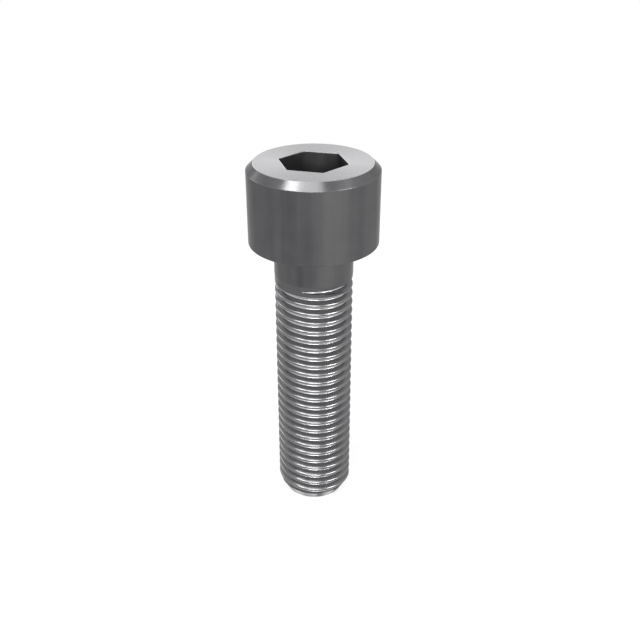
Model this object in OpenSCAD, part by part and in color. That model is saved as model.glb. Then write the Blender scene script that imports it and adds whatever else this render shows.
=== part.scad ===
// Hex socket cap screw: a plain round head with a bevelled top edge and a blind hex
// socket, a short plain neck, and a threaded shank with a tapered end. It is one forged
// and rolled piece of steel, so it is one solid. It stands on its flat end, head up.

/* [Shank] */
// Diameter of the plain neck, which is the nominal size of the thread
shank_d = 8; // [7:0.5:10]
// Length from the underside of the head to the end face
shank_l = 30; // [16:1:60]
// Length of the plain neck below the head
neck_l = 3.5; // [2:0.1:8]
// Radius of the fillet between the underside of the head and the neck
neck_fillet = 0.4; // [0.2:0.1:0.8]
// Width of the tapered lead at the end, from the crests to the end face
lead_w = 0.8; // [0.6:0.1:1.2]
// Height of the tapered lead at the end
lead_h = 1.4; // [1:0.1:2]

/* [Thread] */
// Advance of the thread in one turn
pitch = 1; // [0.75:0.05:1.25]
// Hand of the thread
thread_hand = "left"; // [left, right]
// How far the crests lie inside the surface of the neck
crest_drop = 0.02; // [0.01:0.01:0.1]
// Part of a turn in which the groove grows to its full depth
runout_turns = 0.25; // [0.1:0.05:1]
// Angle round the screw at which the groove starts, from +X towards +Y
start_angle = 250; // [0:5:355]

/* [Head] */
// Diameter of the head
head_d = 13; // [12:0.5:18]
// Height of the head
head_h = 8; // [7:0.5:12]
// Height and width of the bevel round the top of the head
head_bevel = 0.7; // [0.3:0.1:1.2]

/* [Socket] */
// Width of the hexagon across its flats
socket_af = 6; // [5:0.5:7]
// Depth of the hexagon from the top of the head
socket_depth = 4.4; // [3.5:0.1:5]
// Full angle of the conical bottom
point_angle = 120; // [118:1:140]
// Turn of the hexagon about the axis of the screw
socket_turn = -15; // [-30:1:30]

/* [Hidden] */
$fn = 96;
fillet_steps = 6;
cut_clearance = 1;

// Metric thread form: flanks at 30 degrees, with a crest flat of an eighth of the pitch and
// a root flat of a sixth. Going down, a groove has four edges: crest, root, root, crest.
flank_angle = 30;
crest_w = pitch / 8;
root_w = pitch / 6;
flank_w = (pitch - crest_w - root_w) / 2;
groove_depth = flank_w / tan(flank_angle);
flank_slope = groove_depth / flank_w;
edge_drop = [0, flank_w, flank_w + root_w, 2 * flank_w + root_w];
edge_count = len(edge_drop);
steps = 36;

shank_r = shank_d / 2;
crest_r = shank_r - crest_drop;
head_r = head_d / 2;
end_face_r = shank_r - lead_w;
lead_slope = lead_w / lead_h;
top_face_r = head_r - head_bevel;
total_l = shank_l + head_h;
point_h = socket_af / 2 / tan(point_angle / 2);
neck_z = shank_l - neck_l;
thread_seat = 0.2;
groove_z = neck_z - crest_drop;
least_z = 0.05;
flank_left = 0.1;

// Edge m of the groove, counted down from its start, where column i of points crosses it
function turns_down(i, m) = floor(m / edge_count) + i / steps;
function full_edge_z(i, m) = groove_z - pitch * turns_down(i, m) - edge_drop[m % edge_count];
function is_root(m) = m % edge_count == 1 || m % edge_count == 2;
function edge_depth(i, m) = is_root(m) ? groove_depth * min(1, turns_down(i, m) / runout_turns) : 0;

// The lead cuts the crests off. There a crest edge moves along its flank to the taper.
function lead_r(z) = end_face_r + lead_slope * z;
function crest_cut(z) = max(0, crest_r - lead_r(z));
function along_flank(z, slope) = min((1 - flank_left) * flank_w, crest_cut(z) / slope);
function cut_edge_z(z, m) =
    is_root(m) ? z
    : m % edge_count == 0 ? z - along_flank(z, flank_slope - lead_slope)
    : z + along_flank(z, flank_slope + lead_slope);
function edge_z(i, m) = cut_edge_z(full_edge_z(i, m), m);
function edge_r(i, m) = min(crest_r - edge_depth(i, m), lead_r(edge_z(i, m)));
function edges_in(i) = len([for (m = [0 : edge_count * ceil(groove_z / pitch)]) if (edge_z(i, m) > least_z) m]);

function ring_point(i, r, z) =
    let (a = start_angle + 360 * i / steps)
    [r * cos(a), r * sin(a), z];
function column(i) = concat(
    [ring_point(i, crest_r, neck_z + thread_seat)],
    [for (m = [0 : edges_in(i) - 1]) ring_point(i, edge_r(i, m), edge_z(i, m))],
    [ring_point(i, end_face_r, 0)]
);

// Threaded length of the shank, its left-hand groove cut by columns of points that follow
// the helix. After one turn column i meets column 0 one groove lower down.
module threaded_part() {
    columns = [for (i = [0 : steps - 1]) column(i)];
    first = [for (i = 0, n = 0; i < steps; n = n + len(columns[i]), i = i + 1) n];
    top_face = [for (i = [steps - 1 : -1 : 0]) first[i]];
    end_face = [for (i = [0 : steps - 1]) first[i] + len(columns[i]) - 1];
    sides = [
        for (i = [0 : steps - 1])
            let (
                j = (i + 1) % steps,
                lag = j == 0 ? edge_count : 0,
                low_i = len(columns[i]) - 1,
                low_j = len(columns[j]) - 1,
                shared = min(low_i, low_j - lag) - 1
            )
            each concat(
                [concat([first[i], first[j]], [for (m = [1 : 1 + lag]) first[j] + m], [first[i] + 1])],
                [for (m = [1 : shared - 1])
                    [first[i] + m, first[j] + m + lag, first[j] + m + lag + 1, first[i] + m + 1]],
                [concat([for (m = [low_i : -1 : shared]) first[i] + m],
                    [for (m = [shared + lag : low_j]) first[j] + m])]
            )
    ];
    polyhedron(points = [for (c = columns) each c], faces = concat([top_face, end_face], sides));
}

// Quarter circle from the side of the neck to the underside of the head
function fillet_arc() = [
    for (i = [0 : fillet_steps])
        let (a = 90 * i / fillet_steps)
        [shank_r + neck_fillet * (1 - cos(a)), shank_l - neck_fillet * (1 - sin(a))]
];

// Half section of the neck and the head, from the axis to the side and back
function blank_section() = concat(
    [[0, neck_z], [shank_r, neck_z]],
    fillet_arc(),
    [[head_r, shank_l], [head_r, total_l - head_bevel], [top_face_r, total_l], [0, total_l]]
);

// Hexagonal hole with a conical bottom, open at the top of the head
module socket() {
    translate([0, 0, total_l - socket_depth]) {
        rotate(socket_turn)
            cylinder(d = socket_af / cos(30), h = socket_depth + cut_clearance, $fn = 6);
        translate([0, 0, -point_h])
            cylinder(r1 = 0, r2 = socket_af / 2, h = point_h);
    }
}

module cap_screw() {
    color("slategray") {
        difference() {
            rotate_extrude()
                polygon(blank_section());
            socket();
        }
        mirror([0, thread_hand == "right" ? 1 : 0, 0])
            threaded_part();
    }
}

cap_screw();
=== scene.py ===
import math

import bpy
from mathutils import Matrix, Vector, noise


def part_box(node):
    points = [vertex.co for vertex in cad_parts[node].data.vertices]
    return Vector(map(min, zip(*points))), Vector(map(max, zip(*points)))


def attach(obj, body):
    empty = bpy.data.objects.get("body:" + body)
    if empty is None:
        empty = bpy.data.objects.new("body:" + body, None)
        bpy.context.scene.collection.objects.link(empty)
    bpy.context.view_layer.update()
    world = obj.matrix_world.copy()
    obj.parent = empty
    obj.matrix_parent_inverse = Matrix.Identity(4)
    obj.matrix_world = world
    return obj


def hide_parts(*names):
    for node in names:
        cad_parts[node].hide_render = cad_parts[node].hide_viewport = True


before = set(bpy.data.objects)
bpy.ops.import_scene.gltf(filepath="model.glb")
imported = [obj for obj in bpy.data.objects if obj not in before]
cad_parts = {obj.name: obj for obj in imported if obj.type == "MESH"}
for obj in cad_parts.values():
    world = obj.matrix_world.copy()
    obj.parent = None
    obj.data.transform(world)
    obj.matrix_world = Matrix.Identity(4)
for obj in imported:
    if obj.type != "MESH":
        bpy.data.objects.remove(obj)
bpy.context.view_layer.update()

# Viewpoint
# The photograph looks down on the standing screw from in front. Lens, place, tilt and shift come from a fit
# of the outlines of head, neck and thread. The place is in metres from the foot, and angles are in degrees.
PHOTO_LENS_MM = 49.06
SENSOR_WIDTH_MM = 36.0
PHOTO_PLACE_M = (0.0, -0.08032, 0.06396)
PHOTO_LOOK_DOWN = 29.78
PHOTO_ROLL = -0.196
PHOTO_SHIFT = (0.0093, 0.0387)
NEAREST_SEEN_M = 0.001

camera = bpy.data.objects.new("photo_camera", bpy.data.cameras.new("photo_camera"))
bpy.context.scene.collection.objects.link(camera)
camera.data.lens = PHOTO_LENS_MM
camera.data.sensor_width = SENSOR_WIDTH_MM
camera.data.shift_x, camera.data.shift_y = PHOTO_SHIFT
camera.data.clip_start = NEAREST_SEEN_M
look_down = Matrix.Rotation(math.radians(90.0 - PHOTO_LOOK_DOWN), 4, "X")
roll = Matrix.Rotation(math.radians(PHOTO_ROLL), 4, "Z")
camera.matrix_world = Matrix.Translation(PHOTO_PLACE_M) @ look_down @ roll
bpy.context.scene.camera = camera
bpy.context.scene.view_settings.view_transform = "Standard"

# Cap screw
# One piece of alloy steel under a thin black oxide. The head and its hexagonal socket are cold forged from
# wire, the top, the bevel and the end are turned, and the thread is rolled. It stands loose on its end.

# The steel is one closed skin. Its points stand in columns round the axis, counted from the start of the
# thread. Sizes are in millimetres and angles in degrees, here and in the blocks that follow.
COLUMNS = 96
START_ANGLE = 250.0
HEAD_R = 6.5
HEAD_H = 8.0
HEAD_BEVEL = 0.7
NECK_R = 4.0
NECK_L = 3.5
LEAD_W = 0.8
LEAD_H = 1.4

total_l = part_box("cap_screw")[1].z * 1000.0
shank_l = total_l - HEAD_H
neck_z = shank_l - NECK_L
end_face_r = NECK_R - LEAD_W

TURNED, DRAWN, ROLLED, PUNCHED = range(4)
points = []
rubbed_and_sheen = []
faces = []
finishes = []


def add_point(angle, r, z, bare):
    """One point of the steel. bare says how bare the steel is there, from 0 to 1: wear, and along the
    crest edge of the thread and on the lead also a painted highlight.
    """
    points.append((r * math.cos(angle), r * math.sin(angle), z))
    rubbed_and_sheen.append(bare)
    return len(points) - 1


def column_angle(i):
    """Where a column stands round the axis, in radians. The columns go round to the right."""
    return math.radians(START_ANGLE + 360.0 * i / COLUMNS)


def same(value):
    """The same value at every angle round the axis."""
    return lambda angle: value


def ring(radius_at, z, bare_at=same(0.0)):
    """A ring of points round the axis, one in each column."""
    angles = [column_angle(i) for i in range(COLUMNS)]
    return [add_point(angle, radius_at(angle), z, bare_at(angle)) for angle in angles]


def skin(rings, finish):
    """Faces from each ring to the next. They look out of the steel, because the rings run from the bottom
    of the socket up, over the head and down to the end."""
    for upper, lower in zip(rings, rings[1:]):
        for i in range(COLUMNS):
            j = (i + 1) % COLUMNS
            faces.append((upper[i], lower[i], lower[j], upper[j]))
            finishes.append(finish)


def cap(centre, edge, finish, facing_up):
    """Triangles that close a ring with a point on the axis."""
    for i in range(COLUMNS):
        j = (i + 1) % COLUMNS
        faces.append((centre, edge[i], edge[j]) if facing_up else (centre, edge[j], edge[i]))
        finishes.append(finish)


# Socket, punched into the head: from its conical bottom up the six walls and over a rounded rim. More rings
# lie close beside the foot and the rim of the walls, so that the flat faces stay flat in the light.
SOCKET_FLAT_R = 3.0
SOCKET_DEPTH = 4.4
SOCKET_POINT_H = 1.73
SOCKET_TURN = -15.0
CONE_SHARES = (0.04, 0.35, 0.7, 0.97)
WALL_FOOT_H = 0.1
RIM_ROUND = 0.05
RIM_STEPS = 3
RIM_BARE = 0.25

socket_z = total_l - SOCKET_DEPTH


def hexagon(flat_r):
    """Radius of the socket at an angle, from the distance of its flats from the axis."""
    return lambda angle: flat_r / math.cos(math.radians((math.degrees(angle) - SOCKET_TURN) % 60.0 - 30.0))


socket = []
for share in CONE_SHARES:
    socket.append(ring(same(share * SOCKET_FLAT_R), socket_z - (1 - share) * SOCKET_POINT_H))
for z in (socket_z, socket_z + WALL_FOOT_H, socket_z + SOCKET_DEPTH / 2, total_l - 2 * RIM_ROUND):
    socket.append(ring(hexagon(SOCKET_FLAT_R), z))
for k in range(RIM_STEPS + 1):
    t = math.radians(90.0 * k / RIM_STEPS)
    rim = hexagon(SOCKET_FLAT_R + RIM_ROUND * (1 - math.cos(t)))
    socket.append(ring(rim, total_l - RIM_ROUND * (1 - math.sin(t)), same(RIM_BARE)))
beside_rim = ring(hexagon(SOCKET_FLAT_R + 2 * RIM_ROUND), total_l)
cap(add_point(0.0, 0.0, socket_z - SOCKET_POINT_H, 0.0), socket[0], PUNCHED, True)
skin(socket, PUNCHED)

# Head and neck, from the top face out over the bevel, down the side, and in under the head to the neck. The
# two edges of the bevel have lost some oxide, and the seat meets the neck in a fillet.
ARC_STEP = 15.0
LEAST_ARC_STEPS = 3
HELD_SHARE = 0.25
TOP_RING_R = 5.0
TOP_EDGE_ROUND = 0.05
TOP_EDGE_BARE = 0.25
SIDE_EDGE_ROUND = 0.05
SIDE_EDGE_BARE = 0.05
SEAT_EDGE_ROUND = 0.06
NECK_FILLET = 0.4
NECK_RING_UP = 0.14


def softened(corners):
    """Section points (r, z, bare) for corners (r, z, radius, bare). A rounded corner is an arc of short
    steps, with one more point held close beside each end, so that the faces next to it look flat."""
    section = []
    for i, (r, z, radius, bare) in enumerate(corners):
        if not radius:
            section.append((r, z, bare))
            continue
        back = math.atan2(corners[i - 1][1] - z, corners[i - 1][0] - r)
        ahead = math.atan2(corners[i + 1][1] - z, corners[i + 1][0] - r)
        gap = (ahead - back + math.pi) % (2 * math.pi) - math.pi
        to_centre = radius / math.sin(abs(gap) / 2)
        centre_r = r + to_centre * math.cos(back + gap / 2)
        centre_z = z + to_centre * math.sin(back + gap / 2)
        sweep = math.copysign(math.pi - abs(gap), -gap)
        first = back + gap / 2 + math.pi - sweep / 2
        steps = max(LEAST_ARC_STEPS, round(abs(sweep) / math.radians(ARC_STEP)))
        held = radius / math.tan(abs(gap) / 2) + HELD_SHARE * radius
        section.append((r + held * math.cos(back), z + held * math.sin(back), 0.0))
        for k in range(steps + 1):
            t = first + sweep * k / steps
            section.append((centre_r + radius * math.cos(t), centre_z + radius * math.sin(t), bare))
        section.append((r + held * math.cos(ahead), z + held * math.sin(ahead), 0.0))
    return section


head_section = softened([
    (TOP_RING_R, total_l, 0, 0.0),
    (HEAD_R - HEAD_BEVEL, total_l, TOP_EDGE_ROUND, TOP_EDGE_BARE),
    (HEAD_R, total_l - HEAD_BEVEL, SIDE_EDGE_ROUND, SIDE_EDGE_BARE),
    (HEAD_R, shank_l, SEAT_EDGE_ROUND, 0.0),
    (NECK_R, shank_l, NECK_FILLET, 0.0),
    (NECK_R, neck_z + NECK_RING_UP, 0, 0.0),
])
head = [ring(same(r), z, same(bare)) for r, z, bare in head_section]

# The rings down to the lower edge of the bevel are turned, and those below it are drawn
bevel_foot_z = total_l - HEAD_BEVEL - SIDE_EDGE_ROUND
turned_rings = sum(z > bevel_foot_z for r, z, bare in head_section)
skin([socket[-1], beside_rim] + head[:turned_rings], TURNED)
skin(head[turned_rings - 1:], DRAWN)

# Thread, one left-handed groove rolled into the shank. A pitch of it is a list of (drop, depth), with drop
# taken downwards from its upper edge: a rounded crest edge, a straight flank and a full round root, and the
# same back again. It starts just below the neck, and it stops short of the edge of the end.
PITCH = 1.0
CREST_R = 3.98
CREST_W = 0.25
CREST_ROUND = 0.21
ROOT_ROUND = 0.09
FLANK_ANGLE = 30.0
ARC_ROWS = 6
FLANK_SHARES = (0.06, 0.5, 0.94)
FIRST_ROW_UP = 0.1
GROOVE_DROP = 0.02
RUNOUT_TURNS = 0.3
LAST_ROW_Z = 0.22
LEAD_RING_Z = 0.09

flank = math.radians(FLANK_ANGLE)
flank_turn = math.radians(90.0) - flank
half_groove = (PITCH - CREST_W) / 2
groove_depth = half_groove / math.tan(flank) - ROOT_ROUND * (1 / math.sin(flank) - 1)
crest_reach = CREST_ROUND * math.tan(flank_turn / 2)
upper_half = []
for k in range(ARC_ROWS):
    t = flank_turn * k / (ARC_ROWS - 1)
    upper_half.append((CREST_ROUND * math.sin(t) - crest_reach, CREST_ROUND * (1 - math.cos(t))))
from_drop, from_depth = upper_half[-1]
to_drop = half_groove - ROOT_ROUND * math.sin(flank_turn)
to_depth = groove_depth - ROOT_ROUND * (1 - math.cos(flank_turn))
for share in FLANK_SHARES:
    drop = from_drop + share * (to_drop - from_drop)
    upper_half.append((drop, from_depth + share * (to_depth - from_depth)))
for k in range(ARC_ROWS):
    t = flank_turn * (1 - k / ARC_ROWS)
    drop = half_groove - ROOT_ROUND * math.sin(t)
    upper_half.append((drop, groove_depth - ROOT_ROUND * (1 - math.cos(t))))
lower_half = [(2 * half_groove - drop, depth) for drop, depth in reversed(upper_half)]
groove = upper_half + [(half_groove, groove_depth)] + lower_half
rows = len(groove)

# Wear of the thread, with painted highlights. The flank that leads into the nut and the root are rubbed
# bright, from a little after the start of the groove. The open flank, which faces the head, keeps most of
# its oxide, and a thin line of bare colour along the crest edge below it, where the shares run from the
# flank out to the crest, is both wear and a painted highlight. The lead is bare in patches, which are wear
# and painted highlights at once.
LEADING_FLANK_BARE = 0.8
OPEN_FLANK_BARE = 0.08
CREST_EDGE_WEAR_AND_HIGHLIGHT = 0.2
CREST_EDGE_SHARES = (0.0, 0.3, 1.0, 0.7, 0.0, 0.0)
FIRST_RUB_TURNS = 0.045
RUBBED_DEPTH = 0.01
LEAD_BARE = 0.7
LEAD_WEAR_AND_HIGHLIGHTS = 1.1
LEAD_PATCHES = 4.6
LEAD_PATCH_PLACE = 33.3

row_bare = [LEADING_FLANK_BARE] * (rows - ARC_ROWS - len(FLANK_SHARES))
row_bare += [OPEN_FLANK_BARE] * len(FLANK_SHARES)
# The line along the crest edge is wear and a painted highlight
row_bare += [OPEN_FLANK_BARE + share * CREST_EDGE_WEAR_AND_HIGHLIGHT for share in CREST_EDGE_SHARES]


def blank_r(z):
    """Radius of the rolled blank at a height: the crests, and below them the tapered lead."""
    return min(CREST_R, end_face_r + LEAD_W / LEAD_H * z)


def lead_bare_and_highlights(angle):
    """How bare the lead is at an angle. Its bare patches are wear, and painted highlights as well.
    LEAD_PATCHES sets how many patches there are round the screw.
    """
    way_out = (LEAD_PATCHES * math.cos(angle), LEAD_PATCHES * math.sin(angle), LEAD_PATCH_PLACE)
    return min(1.0, max(0.0, LEAD_BARE + LEAD_WEAR_AND_HIGHLIGHTS * noise.noise(Vector(way_out))))


def thread_column(i):
    """Points (r, z, bare) where a column crosses the rows of the groove, turn after turn. The groove starts
    outside the blank and sinks into it. Its hand is left: it falls as the columns go round to the right."""
    column = []
    while True:
        row = len(column) % rows
        turns = len(column) // rows + i / COLUMNS
        drop, depth = groove[row]
        z = neck_z - GROOVE_DROP - PITCH * turns - drop
        if z < LAST_ROW_Z:
            return column
        grown = min(1.0, turns / RUNOUT_TURNS)
        used = min(1.0, turns / FIRST_RUB_TURNS) ** 2
        column.append((CREST_R - depth + groove_depth * (1 - grown) ** 2, z, used * row_bare[row]))


def trimmed(column, angle):
    """The column held inside the blank. Where the groove breaks the surface, the point just outside moves
    to the break."""
    held = []
    for r, z, bare in column:
        on_blank = lead_bare_and_highlights(angle) if blank_r(z) < CREST_R else 0.0
        sunk = min(1.0, max(0.0, blank_r(z) - r) / RUBBED_DEPTH)
        held.append((min(r, blank_r(z)), z, on_blank + sunk * (bare - on_blank)))
    for k in range(len(column) - 1):
        r, z = column[k][:2]
        next_r, next_z = column[k + 1][:2]
        over = r - blank_r(z)
        next_over = next_r - blank_r(next_z)
        if over * next_over < 0:
            break_z = z + over / (over - next_over) * (next_z - z)
            outside = k if over > 0 else k + 1
            held[outside] = (blank_r(break_z), break_z, held[outside][2])
    return held


columns = []
for i in range(COLUMNS):
    angle = column_angle(i)
    section = [(CREST_R, neck_z + FIRST_ROW_UP, 0.0)] + trimmed(thread_column(i), angle)
    section.append((blank_r(LEAD_RING_Z), LEAD_RING_Z, lead_bare_and_highlights(angle)))
    columns.append([head[-1][i]] + [add_point(angle, r, z, bare) for r, z, bare in section])

# Faces from each column to the next, row by row. After a whole turn the groove has come down by one pitch,
# so the last column meets the first one with a lag of one groove. Fans of triangles fill the uneven ends.
for i in range(COLUMNS):
    j = (i + 1) % COLUMNS
    lag = rows if j == 0 else 0
    left, right = columns[i], columns[j]
    last = min(len(left), len(right) - lag) - 2
    strip = [(left[0], left[1], right[1], right[0])]
    strip += [(left[1], right[k + 1], right[k]) for k in range(1, 1 + lag)]
    strip += [(left[k], left[k + 1], right[k + 1 + lag], right[k + lag]) for k in range(1, last)]
    strip += [(left[k], left[k + 1], right[last + lag]) for k in range(last, len(left) - 1)]
    strip += [(left[-1], right[k + 1], right[k]) for k in range(last + lag, len(right) - 1)]
    faces += strip
    finishes += [DRAWN] + [ROLLED] * (len(strip) - 1)

# End, from the last ring of the lead, which the columns have made, over its edge and in to the axis
END_EDGE_ROUND = 0.05
END_RING_R = 1.6

end_section = softened([
    (blank_r(LEAD_RING_Z), LEAD_RING_Z, 0, LEAD_BARE),
    (end_face_r, 0.0, END_EDGE_ROUND, LEAD_BARE),
    (END_RING_R, 0.0, 0, 0.0),
])
end = [[column[-1] for column in columns]]
end += [ring(same(r), z, lead_bare_and_highlights if bare else same(0.0)) for r, z, bare in end_section[1:]]
skin(end, TURNED)
cap(add_point(0.0, 0.0, 0.0, 0.0), end[-1], TURNED, False)

# The skin is smooth, apart from edges that turn by more than SHARP_ANGLE, such as the corners of the socket
SHARP_ANGLE = 40.0

screw_mesh = bpy.data.meshes.new("cap_screw_steel")
screw_mesh.from_pydata([(x / 1000, y / 1000, z / 1000) for x, y, z in points], [], faces)
screw_mesh.polygons.foreach_set("material_index", finishes)
screw_mesh.attributes.new("rubbed_and_sheen", "FLOAT", "POINT").data.foreach_set("value", rubbed_and_sheen)
screw_mesh.shade_smooth()
screw_mesh.set_sharp_from_angle(angle=math.radians(SHARP_ANGLE))
screw = bpy.data.objects.new("cap_screw_steel", screw_mesh)
bpy.context.scene.collection.objects.link(screw)

# Finish. The oxide is cloudy in patches of about CLOUD_MM, and it shows the marks of the tool beneath it, so
# the one piece has four finishes. On the drawn and punched steel the marks carry painted reflection streaks
# as well. Where the oxide is rubbed off, the bare steel shines through, and along the crest edge of the
# thread and on the lead that bare colour is a painted highlight as well. EDGE_TINT holds back the glare
# where the steel is seen at a flat angle.
BARE_STEEL_AND_SHEEN = "#dadadb"
EDGE_TINT = 0.65
CLOUD_MM = 2.4


def linear(hex_colour):
    """An sRGB hex colour as linear RGBA."""
    parts = [int(hex_colour[k : k + 2], 16) / 255 for k in (1, 3, 5)]
    return [c / 12.92 if c <= 0.04045 else ((c + 0.055) / 1.055) ** 2.4 for c in parts] + [1.0]


def add_node(tree, kind, inputs=None, **settings):
    """Adds one node, makes its settings, and links or fills its sockets. A Mix node takes its share at 0,
    two numbers at 2 and 3, and two colours at 6 and 7."""
    made = tree.nodes.new(kind)
    for name, value in settings.items():
        setattr(made, name, value)
    for socket_name, value in (inputs or {}).items():
        if isinstance(value, bpy.types.NodeSocket):
            tree.links.new(value, made.inputs[socket_name])
        else:
            made.inputs[socket_name].default_value = value
    return made


def oxided_steel(name, dark, pale, smooth, rough, marks, mark_share, mark_height_mm, stretch):
    """Black oxided alloy steel, between a dark and a pale tone and between two roughnesses. marks gives the
    height of the tool's marks from 0 to 1 at a place in mm, and on drawn and punched steel also the painted
    reflection streaks, mark_share is their share in the tone, and stretch draws each reflection out across
    the way round the axis."""
    material = bpy.data.materials.new(name)
    material.use_nodes = True
    tree = material.node_tree
    tree.nodes.clear()
    place = add_node(tree, "ShaderNodeTexCoord").outputs["Object"]
    place = add_node(tree, "ShaderNodeVectorMath", {0: place, "Scale": 1000.0},
                     operation="SCALE").outputs[0]
    cloud = add_node(tree, "ShaderNodeTexNoise", {"Vector": place, "Scale": 1 / CLOUD_MM, "Detail": 5.0,
                                                  "Roughness": 0.6})
    height = marks(tree, place)
    blotch = add_node(tree, "ShaderNodeMix", {0: mark_share, 2: cloud.outputs["Fac"], 3: height})
    tone = add_node(tree, "ShaderNodeMapRange", {"Value": blotch.outputs[0],
                                                 "From Min": 0.42, "From Max": 0.66})
    oxide = add_node(tree, "ShaderNodeMix", {0: tone.outputs["Result"], 6: linear(dark), 7: linear(pale)},
                     data_type="RGBA")
    bare = add_node(tree, "ShaderNodeAttribute", attribute_name="rubbed_and_sheen")
    patchy = add_node(tree, "ShaderNodeMapRange", {"Value": cloud.outputs["Fac"],
                                                   "From Min": 0.2, "From Max": 0.7,
                                                   "To Min": 0.85, "To Max": 1.0})
    # Where the steel is bare it takes the bare colour: wear, and along the crest edge of the thread and on
    # the lead a painted highlight as well
    worn_and_sheen = add_node(tree, "ShaderNodeMath", {0: bare.outputs["Fac"], 1: patchy.outputs["Result"]},
                    operation="MULTIPLY")
    colour = add_node(tree, "ShaderNodeMix", {0: worn_and_sheen.outputs[0], 6: oxide.outputs[2],
                                              7: linear(BARE_STEEL_AND_SHEEN)}, data_type="RGBA")
    gloss = add_node(tree, "ShaderNodeMapRange", {"Value": blotch.outputs[0],
                                                  "From Min": 0.3, "From Max": 0.7,
                                                  "To Min": smooth, "To Max": rough})
    bump = add_node(tree, "ShaderNodeBump", {"Height": height, "Strength": 1.0,
                                             "Distance": mark_height_mm / 1000})
    round_axis = add_node(tree, "ShaderNodeTangent", direction_type="RADIAL", axis="Z")
    steel = add_node(tree, "ShaderNodeBsdfPrincipled", {
        "Base Color": colour.outputs[2],
        "Metallic": 1.0,
        "Specular Tint": (EDGE_TINT, EDGE_TINT, EDGE_TINT, 1.0),
        "Roughness": gloss.outputs["Result"],
        "Anisotropic": stretch,
        "Anisotropic Rotation": 0.25,
        "Tangent": round_axis.outputs["Tangent"],
        "Normal": bump.outputs["Normal"],
    })
    add_node(tree, "ShaderNodeOutputMaterial", {"Surface": steel.outputs["BSDF"]})
    return material


# Turned steel, on the top, the bevel and the end. Its rings are too fine to see one by one, and they give a
# pale satin sheen. Each light is drawn out across them: it spreads over the top face, and on the bevel it
# has clear ends. The feed is a real one, and a ring of the wave texture is pi / 10 wide at scale 1.
TURNING_FEED_MM = 0.08


def turning_rings(tree, place):
    """Rings that the turning tool leaves round the axis, one for each step of its feed."""
    wave = add_node(tree, "ShaderNodeTexWave", {"Vector": place, "Scale": math.pi / 10 / TURNING_FEED_MM,
                                                "Distortion": 0.6, "Detail": 2.0, "Detail Scale": 0.3},
                    wave_type="RINGS", rings_direction="Z")
    return wave.outputs["Fac"]


screw_mesh.materials.append(oxided_steel(
    "turned_oxided_steel", dark="#5f5f61", pale="#69696a", smooth=0.22, rough=0.28,
    marks=turning_rings, mark_share=0.2, mark_height_mm=0.0002, stretch=0.6))

# Drawn steel, on the side of the head, the seat and the neck. It is darker, with wide soft streaks down the
# side: painted reflections, lighter and darker bands in the colour where the side would show faint
# reflections. The lines of the die are about 0.05 mm wide, too fine to show, so they are drawn at 0.35 mm.
# The streaks are about 3.6 mm wide on the head, and their place in the noise is one that puts them about
# where the photograph has them.
DRAW_LINE_MM = 0.35
DRAW_LINE_SHARE = 0.12
STREAK_SCALE = 1.8
STREAK_PLACE = 402.5

# Factors on a place: the first drops its height, and the second draws the lines out down the side
LEVEL = (1.0, 1.0, 0.0)
LONG_DOWN_THE_SIDE = (1.0, 1.0, 0.03)


def die_lines_and_painted_streaks(tree, place):
    """Painted reflection streaks, wide and soft, down the side, and fine lines where wire and head were
    pressed through a die.
    """
    level = add_node(tree, "ShaderNodeVectorMath", {0: place, 1: LEVEL}, operation="MULTIPLY")
    way_out = add_node(tree, "ShaderNodeVectorMath", {0: level.outputs[0]}, operation="NORMALIZE")
    # The streaks are painted reflections: lighter and darker bands in the tone by the way out from the axis
    streaks = add_node(tree, "ShaderNodeTexNoise", {"Vector": way_out.outputs[0], "W": STREAK_PLACE,
                                                    "Scale": STREAK_SCALE, "Detail": 2.0},
                       noise_dimensions="4D")
    along = add_node(tree, "ShaderNodeVectorMath", {0: place, 1: LONG_DOWN_THE_SIDE}, operation="MULTIPLY")
    lines = add_node(tree, "ShaderNodeTexNoise", {"Vector": along.outputs[0], "Scale": 1 / DRAW_LINE_MM,
                                                  "Detail": 3.0, "Roughness": 0.6})
    both = add_node(tree, "ShaderNodeMix", {0: DRAW_LINE_SHARE, 2: streaks.outputs["Fac"],
                                            3: lines.outputs["Fac"]})
    return both.outputs[0]


screw_mesh.materials.append(oxided_steel(
    "drawn_oxided_steel", dark="#4b4b4d", pale="#636364", smooth=0.22, rough=0.3,
    marks=die_lines_and_painted_streaks, mark_share=0.85, mark_height_mm=0.014, stretch=0.0))

# Rolled steel, on the thread. The rolls press it smoother than the rest, so its edges catch small sharp
# lights. The grain they leave is about 0.05 mm wide, too fine to show, so it is drawn at 0.4 mm.
ROLL_GRAIN_MM = 0.4

# Factors on a place, which make the grain four times shorter down the screw than round it
LONG_ROUND_THE_SCREW = (1.0, 1.0, 4.0)


def roll_grain(tree, place):
    """Fine grain pressed along the thread by the rolls."""
    along = add_node(tree, "ShaderNodeVectorMath", {0: place, 1: LONG_ROUND_THE_SCREW},
                     operation="MULTIPLY")
    grain = add_node(tree, "ShaderNodeTexNoise", {"Vector": along.outputs[0], "Scale": 1 / ROLL_GRAIN_MM,
                                                  "Detail": 2.0})
    return grain.outputs["Fac"]


screw_mesh.materials.append(oxided_steel(
    "rolled_oxided_steel", dark="#565658", pale="#606061", smooth=0.17, rough=0.24,
    marks=roll_grain, mark_share=0.5, mark_height_mm=0.006, stretch=0.0))

# Punched steel, in the socket. The punch leaves it rougher, so its walls are matt and dark, and each has
# one even tone. It drags lines down the walls, like those of the die down the side, and the same painted
# reflection streaks come with them.
screw_mesh.materials.append(oxided_steel(
    "punched_oxided_steel", dark="#5f5f61", pale="#6a6a6b", smooth=0.36, rough=0.44,
    marks=die_lines_and_painted_streaks, mark_share=0.3, mark_height_mm=0.03, stretch=0.0))

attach(screw, "root")
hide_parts("cap_screw")

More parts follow.
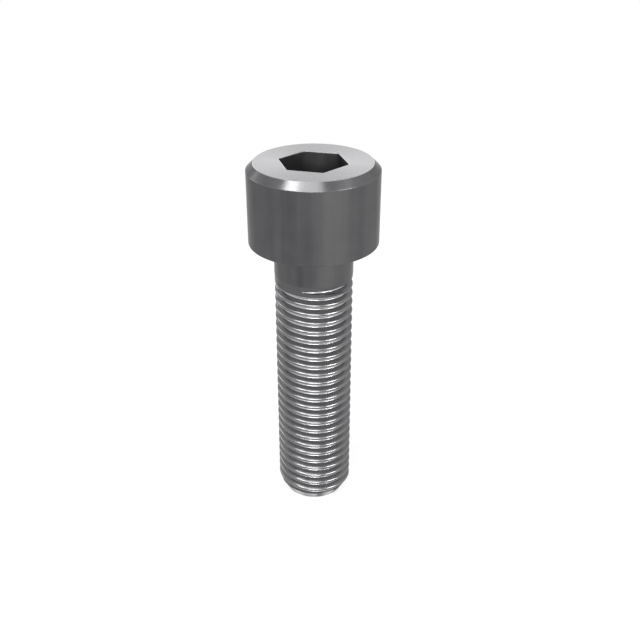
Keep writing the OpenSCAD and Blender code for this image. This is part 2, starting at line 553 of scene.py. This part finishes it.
# Studio
# A white table in a white room, with soft boxes round the screw. The table shows as white to the camera and
# in the metal. Its matt share, which fades out further from the screw, keeps the screw's shadow.
TABLE_HALF_M = 3.0
SHADOW_SHARE = 0.3
SHADOW_NEAR_M = 0.08
SHADOW_FAR_M = 0.3
ROOM_LIGHT = 0.25
LIT_HEIGHT_M = 0.02


def seen_directly(tree):
    """1 for what the camera sees, straight or in metal or glass, and 0 for what only lights the scene."""
    path = add_node(tree, "ShaderNodeLightPath").outputs
    seen = path["Is Camera Ray"]
    for ray in ("Is Glossy Ray", "Is Transmission Ray"):
        seen = add_node(tree, "ShaderNodeMath", {0: seen, 1: path[ray]}, operation="MAXIMUM").outputs[0]
    return seen


table_corners = [(x * TABLE_HALF_M, y * TABLE_HALF_M, 0.0) for x, y in ((-1, -1), (1, -1), (1, 1), (-1, 1))]
table_mesh = bpy.data.meshes.new("table")
table_mesh.from_pydata(table_corners, [], [(0, 1, 2, 3)])
table = bpy.data.objects.new("table", table_mesh)
bpy.context.scene.collection.objects.link(table)
table_paint = bpy.data.materials.new("white_table_paint")
table_paint.use_nodes = True
tree = table_paint.node_tree
tree.nodes.clear()
place = add_node(tree, "ShaderNodeTexCoord").outputs["Object"]
way = add_node(tree, "ShaderNodeVectorMath", {0: place}, operation="LENGTH").outputs["Value"]
matt_share = add_node(tree, "ShaderNodeMapRange", {"Value": way, "From Min": SHADOW_NEAR_M,
                                                   "From Max": SHADOW_FAR_M, "To Min": SHADOW_SHARE,
                                                   "To Max": 0.0}).outputs["Result"]
rest = add_node(tree, "ShaderNodeMath", {0: 1.0, 1: matt_share}, operation="SUBTRACT")
glow = add_node(tree, "ShaderNodeMath", {0: seen_directly(tree), 1: rest.outputs[0]}, operation="MULTIPLY")
white = add_node(tree, "ShaderNodeEmission", {"Strength": glow.outputs[0]})
matt = add_node(tree, "ShaderNodeBsdfDiffuse", {"Color": matt_share})
both = add_node(tree, "ShaderNodeAddShader", {0: white.outputs[0], 1: matt.outputs[0]})
add_node(tree, "ShaderNodeOutputMaterial", {"Surface": both.outputs[0]})
table_mesh.materials.append(table_paint)

room = bpy.data.worlds.new("white_room")
bpy.context.scene.world = room
room.use_nodes = True
tree = room.node_tree
tree.nodes.clear()
level = add_node(tree, "ShaderNodeMapRange", {"Value": seen_directly(tree), "To Min": ROOM_LIGHT,
                                              "To Max": 1.0})
air = add_node(tree, "ShaderNodeBackground", {"Color": (1.0, 1.0, 1.0, 1.0),
                                              "Strength": level.outputs["Result"]})
add_node(tree, "ShaderNodeOutputWorld", {"Surface": air.outputs[0]})


def soft_box(name, azimuth, elevation, distance, wide, high, brightness):
    """A lamp that faces the screw, with its distance and its sides in metres. Azimuth 0 is in front and
    grows to the right, and a brightness of 1 is white."""
    lamp = bpy.data.lights.new(name, "AREA")
    lamp.shape = "RECTANGLE"
    lamp.size = wide
    lamp.size_y = high
    lamp.energy = brightness * math.pi * wide * high
    box = bpy.data.objects.new(name, lamp)
    bpy.context.scene.collection.objects.link(box)
    turn = Matrix.Rotation(math.radians(azimuth), 4, "Z")
    tilt = Matrix.Rotation(math.radians(90.0 - elevation), 4, "X")
    aim = Matrix.Translation((0.0, 0.0, LIT_HEIGHT_M))
    box.matrix_world = aim @ (turn @ tilt) @ Matrix.Translation((0.0, 0.0, distance))
    box.visible_camera = False


# The two upper boxes show in the bevel and the back one in the top face. Those in front, left and right
# make the lights on the edges of the thread, and the far left one lifts the left of the bevel.
soft_box("upper_left_box", -60.0, 61.0, 0.45, 0.11, 0.12, 12.0)
soft_box("upper_front_box", -12.0, 68.0, 0.45, 0.24, 0.12, 5.0)
soft_box("back_box", 187.0, 20.0, 0.6, 0.5, 0.20, 3.4)
soft_box("front_box", 0.0, 22.0, 0.45, 0.26, 0.16, 9.0)
soft_box("left_box", -34.0, 44.0, 0.45, 0.10, 0.14, 8.0)
soft_box("right_box", 60.0, 34.0, 0.45, 0.20, 0.12, 15.0)
soft_box("far_left_box", -116.0, 16.0, 0.6, 0.3, 0.2, 2.4)
